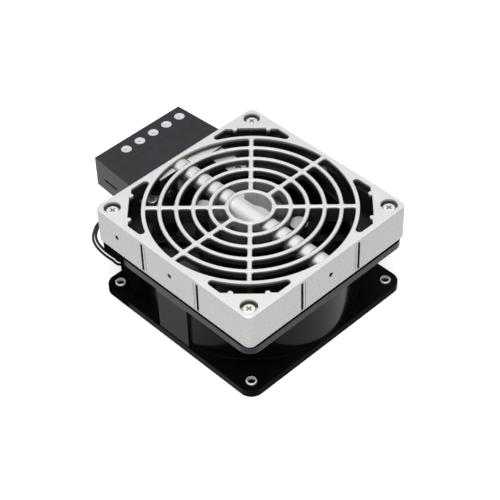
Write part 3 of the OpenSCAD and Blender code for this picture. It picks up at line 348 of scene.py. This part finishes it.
# Soft borders on the upright part of a normal, from level faces to steep ones and back
STEEP = (0.6, 0.3)
SLOPING = (0.7, 0.4)
TUBE_FLANK = (0.95, 0.75)
SQUARE_ON = (0.5, 0.8)


def grey(level):
    """Neutral colour of a level."""
    return (level, level, level)


def casting_place(f):
    """Where a point of the casting lies: mirrored place, depth below the top and slope."""
    x, y, z = f.axes(f.place)
    return SimpleNamespace(
        x=x,
        y=y,
        depth=f.math("SUBTRACT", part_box("heater_casting")[1].z, z),
        upward=f.facing()[2],
        radius=f.radius(x, y),
        widest=f.math("MAXIMUM", x, y),
        narrowest=f.math("MINIMUM", x, y),
    )


def tube_colour(f, at):
    """Cartridge tube: bright, with flanks coloured lighter than its top as painted light, and painted
    shade beside the rings and at the foot of its flanks.
    """
    past_first = f.math("SUBTRACT", at.radius, RING_FIRST_R * MM)
    from_ring = f.math("PINGPONG", past_first, RING_PITCH / 2 * MM)
    # Painted shade: dark bands beside each ring and at the foot of the flanks.
    painted_crease_shade = f.math(
        "MAXIMUM", f.step_mm(from_ring, *TUBE_RING_SHADE), f.step_mm(at.x, *TUBE_FLANK_SHADE)
    )
    # Painted light: the tube's sloping flanks get a lighter colour than its top.
    painted_flank_light = f.mix(f.step(at.upward, *TUBE_FLANK), (0.69, 0.69, 0.68), (0.95, 0.95, 0.94))
    shaded = f.product(f.step_mm(at.radius, *TUBE_PAST_HUB), painted_crease_shade)
    return f.mix(shaded, painted_flank_light, grey(0.12))


def outer_colour(f, at, grain):
    """Outside of the casting: pale top, steep sides painted darker as shade, and screw pockets with a
    painted-light floor and painted-shade walls.
    """
    cloud = f.noise(14, detail=3)
    speckle = f.spread(grain, 0, 1)
    fine = f.mix(speckle, (0.66, 0.66, 0.65), (0.88, 0.88, 0.87))
    stained = f.mix(f.spread(cloud, 0, 0.35), fine, (0.7, 0.7, 0.69))
    # Painted shade: steep faces get a darker copy of the grain colour.
    painted_side_shade = f.mix(speckle, (0.4, 0.4, 0.39), (0.62, 0.62, 0.61))
    slope = f.step(at.upward, *SLOPING)
    sides = f.mix(slope, stained, painted_side_shade)
    pocket = f.product(
        f.step_mm(at.narrowest, *POCKET_NEAR),
        f.step_mm(at.widest, *POCKET_FAR),
        f.step_mm(at.depth, *POCKET_DEPTH),
    )
    # Painted light on the pocket floor and painted shade on the pocket walls.
    pocket_painted_light_and_shade = f.mix(slope, (0.98, 0.98, 0.95), (0.06, 0.06, 0.055))
    return f.mix(pocket, sides, pocket_painted_light_and_shade)


def cast_aluminium():
    """Matte blasted aluminium: bright outside, with painted shade on the deep floors, on the walls
    inside the grille and in the side holes.
    """
    f = Finish("cast_aluminium", (0.8, 0.8, 0.79), 0.5, metallic=0.35)
    f.rounded(0.35)
    grain = f.noise(0.55, detail=4, rough=0.65)
    at = casting_place(f)

    along_tube = f.product(f.step_mm(at.x, *TUBE_WIDTH), f.step_mm(at.y, *TUBE_END))
    tube = f.product(along_tube, f.step_mm(at.depth, *TUBE_TOP))
    outside_and_tube = f.mix(tube, outer_colour(f, at, grain), tube_colour(f, at))

    within_corners = f.step_mm(at.narrowest, *WINDOW_CORNER)
    inside = f.product(
        within_corners, f.step_mm(at.widest, *OUTER_FACE), f.spread(along_tube, 1, 0)
    )
    # Painted shade: floors deep inside the casting are coloured dark grey.
    painted_deep_shade = f.product(
        inside, f.step_mm(at.depth, *FLOOR_DEPTH), f.step_mm(at.radius, *FLOOR_PAST_HUB)
    )
    floor = f.mix(painted_deep_shade, outside_and_tube, grey(0.16))

    # Painted shade: steep walls inside the grille are coloured near black, less so in the hub.
    wall = f.product(inside, f.step(at.upward, *STEEP), f.step_mm(at.depth, *WALL_DEPTH))
    hub_wall_shade = f.blend(f.step_mm(at.radius, *HUB_RING), 0.2, 0.6)
    outer_wall_shade = f.blend(f.step_mm(at.radius, *SECOND_RING), 0, 0.37)
    wall_shade_strength = f.math("ADD", hub_wall_shade, outer_wall_shade)
    painted_wall_shade = f.mix(f.product(wall, wall_shade_strength), floor, grey(0.02))

    # Painted shade: the insides of the side holes and slots are coloured near black.
    side_hole_shade = f.product(
        within_corners,
        f.step_mm(at.widest, *SIDE_HOLE_FACE),
        f.step_mm(at.widest, *SIDE_HOLE_END),
        f.step_mm(at.depth, *SIDE_HOLE_UPPER),
        f.step_mm(at.depth, *SIDE_HOLE_LOWER),
    )
    f.color(f.mix(side_hole_shade, painted_wall_shade, grey(0.01)))
    f.roughness(f.spread(grain, 0.45, 0.62))
    f.bump(grain, 0.12, 0.6)
    return f.material


def black_paint():
    """Glossy black paint with a slight orange peel, shinier on the duct and the upper flange."""
    f = Finish("black_paint", (0.003, 0.003, 0.0035), 0.16)
    f.rounded(0.5)
    peel = f.noise(1.6, detail=2)
    film = f.noise(9, detail=3)
    f.color(f.mix(film, (0.002, 0.002, 0.0024), (0.005, 0.005, 0.006)))
    f.roughness(f.spread(film, 0.12, 0.22))
    f.bump(peel, 0.02, 0.35)

    split = f.add("ShaderNodeSeparateXYZ")
    f.link(f.place, split.inputs[0])
    x, y, z = split.outputs
    _, facing_y, upward = f.facing()
    right_top = f.product(f.step_mm(x, *FLANGE_RIGHT), f.step(upward, *SQUARE_ON))
    low_edges = f.blend(f.step(facing_y, *SQUARE_ON), 0.03, 0.012)
    low_flange = f.blend(right_top, low_edges, 0.12)
    duct = f.blend(f.step_mm(x, *DUCT_LEFT_TO_RIGHT), 0.085, 0.15)
    below = f.blend(f.step_mm(z, *DUCT_BOTTOM), low_flange, duct)
    level = f.blend(f.step_mm(z, *DUCT_TOP), below, 0.25)
    pocket = f.product(
        f.step_mm(x, *LEAD_POCKET_X),
        f.step_mm(y, *LEAD_POCKET_Y),
        f.step_mm(f.radius(x, y), *LEAD_POCKET_R),
    )
    f.link(f.blend(pocket, level, 0), f.shader.inputs["Specular IOR Level"])
    f.shader.inputs["Specular Tint"].default_value = (0.92, 0.92, 1, 1)
    return f.material


def moulded_plastic(name, dark, light, rough_low, rough_high, edge_mm=0.3):
    """Moulded plastic with a fine spark-eroded texture."""
    f = Finish(name, dark, rough_low)
    f.rounded(edge_mm)
    grain = f.noise(0.3, detail=3, rough=0.6)
    cloud = f.noise(7, detail=3)
    f.color(f.mix(f.spread(cloud, 0, 1), dark, light))
    f.roughness(f.spread(grain, rough_low, rough_high))
    f.bump(grain, 0.03, 0.4)
    return f.material


def plain_metal(name, dark, light, rough_low, rough_high, streak=(1, 1, 1), size_mm=0.8):
    """Bare or plated metal with fine tool marks."""
    f = Finish(name, light, rough_low, metallic=1.0)
    f.rounded(0.15)
    marks = f.noise(size_mm, detail=4, rough=0.6, stretch=streak)
    film = f.noise(3, detail=2)
    f.color(f.mix(f.spread(film, 0, 1), dark, light))
    f.roughness(f.spread(marks, rough_low, rough_high))
    f.bump(marks, 0.02, 0.3)
    return f.material


def corner_place(f):
    """Distance from the nearest of the four corner axes, and the height."""
    x, y, z = f.axes(f.place)
    across = [f.math("SUBTRACT", part, CORNER_AXIS * MM) for part in (x, y)]
    return f.radius(*across), z


def plating(name, base, metallic, rough_low, rough_high):
    """Start of a plated finish, which still needs its colour."""
    f = Finish(name, base, (rough_low + rough_high) / 2, metallic=metallic)
    f.rounded(0.15)
    marks = f.noise(0.8, detail=4, rough=0.6)
    f.roughness(f.spread(marks, rough_low, rough_high))
    f.bump(marks, 0.02, 0.3)
    return f


def zinc_steel():
    """Slightly yellow plating of the corner screws, with a shaded cross recess."""
    f = plating("zinc_steel", (0.97, 0.97, 0.9), 0.6, 0.4, 0.55)
    film = f.mix(f.spread(f.noise(3), 0, 1), (0.9, 0.9, 0.82), (0.99, 0.99, 0.93))
    radius, z = corner_place(f)
    below_top = f.math("SUBTRACT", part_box("corner_screws")[1].z, z)
    recess = f.product(f.step_mm(radius, *RECESS_R), f.step_mm(below_top, *RECESS_DEPTH))
    f.color(f.mix(recess, film, (0.36, 0.36, 0.33)))
    return f.material


def bright_zinc():
    """Bright plating of the clamp screws and bushes, with painted shade in the bushes' bores; the
    bushes get painted light, a lighter colour than the clamp screws.
    """
    f = plating("bright_zinc", (0.92, 0.94, 0.97), 0.3, 0.35, 0.5)
    film = f.mix(f.spread(f.noise(3), 0, 1), (0.88, 0.9, 0.95), (0.96, 0.97, 1))
    radius, z = corner_place(f)
    # Painted shade: the bushes' bores are coloured near black.
    bore = f.product(f.step_mm(radius, *BUSH_BORE_R), f.step_mm(z, *BUSH_BORE_Z))
    # Painted light: the bushes keep the lighter colour; the clamp screws above get a darker one.
    screws = f.mix(f.step_mm(z, *CLAMP_SCREW_Z), film, (0.74, 0.76, 0.8))
    f.color(f.mix(bore, screws, grey(0.01)))
    return f.material


def wire_sleeve(name, dark, light):
    """Soft insulation of a lead."""
    f = Finish(name, dark, 0.42)
    cloud = f.noise(2.5, detail=3)
    f.color(f.mix(f.spread(cloud, 0, 1), dark, light))
    f.roughness(f.spread(f.noise(0.6), 0.36, 0.5))
    f.bump(f.noise(0.5), 0.02, 0.3)
    return f.material


FINISHES = {
    "cast_aluminium": cast_aluminium(),
    "black_paint": black_paint(),
    "black_plastic": moulded_plastic(
        "black_plastic", (0.009, 0.009, 0.01), (0.014, 0.014, 0.015), 0.42, 0.56
    ),
    "charcoal_plastic": moulded_plastic(
        "charcoal_plastic",
        (0.0165, 0.017, 0.0205),
        (0.0225, 0.023, 0.0275),
        0.45,
        0.58,
        edge_mm=0.5,
    ),
    "cutout_body": moulded_plastic(
        "cutout_body", (0.02, 0.018, 0.016), (0.035, 0.03, 0.026), 0.4, 0.55
    ),
    "plain_steel": plain_metal("plain_steel", (0.66, 0.66, 0.67), (0.8, 0.8, 0.81), 0.2, 0.36),
    "zinc_steel": zinc_steel(),
    "bright_zinc": bright_zinc(),
    "core_steel": plain_metal("core_steel", (0.22, 0.22, 0.23), (0.36, 0.36, 0.37), 0.36, 0.52),
    "plain_brass": plain_metal("plain_brass", (0.6, 0.44, 0.2), (0.76, 0.6, 0.32), 0.28, 0.42),
    "copper_wire": plain_metal(
        "copper_wire",
        (0.42, 0.17, 0.07),
        (0.62, 0.3, 0.14),
        0.3,
        0.42,
        streak=(1, 1, 6),
        size_mm=1.2,
    ),
    "lead_light": wire_sleeve("lead_light", (0.6, 0.59, 0.55), (0.72, 0.71, 0.67)),
    "lead_dark": wire_sleeve("lead_dark", (0.008, 0.008, 0.009), (0.014, 0.014, 0.015)),
    # The earth lead's green-yellow is coloured very dark, as painted shade.
    "lead_earth": wire_sleeve("lead_earth", (0.03, 0.045, 0.012), (0.06, 0.06, 0.014)),
}


def paint_nodes():
    """Each CAD node gets the finish of its slot in the record."""
    for part in frame["record"]["subparts"]:
        mesh = nodes[part["node"]].data
        mesh.materials.clear()
        mesh.materials.append(FINISHES[part["material_slot"]])


paint_nodes()
for lead in fan_leads:
    lead.data.materials.append(FINISHES["lead_dark"])


# Stage and light: lengths in metres, power in watts
FLOOR_HALF = 3.0
FLOOR_GLOW = 0.5
FLOOR_SHADOW_EDGE_MM = (56, 58)
WORLD_LIGHT = 0.2
SOFTBOXES = (
    ("overhead", (0.1, 0.1, 1.6), (0, 0, 0), 1.4, 15),
    ("front", (-0.65, -0.5, 1.4), (0, 0, 0.04), 1.0, 15.5),
)


def add_floor():
    """Pale floor with a slight glow, with a painted shadow where it lies hidden under the object: dark
    there and without glow.
    """
    data = bpy.data.meshes.new("floor")
    corners = [(sx * FLOOR_HALF, sy * FLOOR_HALF, 0) for sx, sy in ((-1, -1), (1, -1), (1, 1), (-1, 1))]
    data.from_pydata(corners, [], [(0, 1, 2, 3)])
    floor = bpy.data.objects.new("floor", data)
    bpy.context.scene.collection.objects.link(floor)
    f = Finish("floor", grey(0.71), 0.9)
    x, y, _ = f.axes(f.place)
    # Painted shadow: under the object the floor is coloured near black and does not glow.
    clear = f.step_mm(f.math("MAXIMUM", x, y), *FLOOR_SHADOW_EDGE_MM)
    pale = f.mix(f.noise(400), grey(0.7), grey(0.72))
    f.color(f.mix(clear, grey(0.01), pale))
    f.shader.inputs["Emission Color"].default_value = (1, 1, 1, 1)
    f.link(f.math("MULTIPLY", clear, FLOOR_GLOW), f.shader.inputs["Emission Strength"])
    data.materials.append(f.material)


def add_light(name, place, target, size, power):
    """Square softbox that faces the target."""
    data = bpy.data.lights.new(name, "AREA")
    data.shape = "SQUARE"
    data.size = size
    data.energy = power
    light = bpy.data.objects.new(name, data)
    light.location = place
    light.rotation_euler = (Vector(target) - Vector(place)).to_track_quat("-Z", "Y").to_euler()
    bpy.context.scene.collection.objects.link(light)


def add_world():
    """Even white light from all round."""
    world = bpy.data.worlds.new("studio")
    world.use_nodes = True
    background = world.node_tree.nodes["Background"]
    background.inputs["Color"].default_value = (1, 1, 1, 1)
    background.inputs["Strength"].default_value = WORLD_LIGHT
    bpy.context.scene.world = world


add_floor()
add_world()
for softbox in SOFTBOXES:
    add_light(*softbox)
bpy.context.scene.view_settings.view_transform = "Standard"
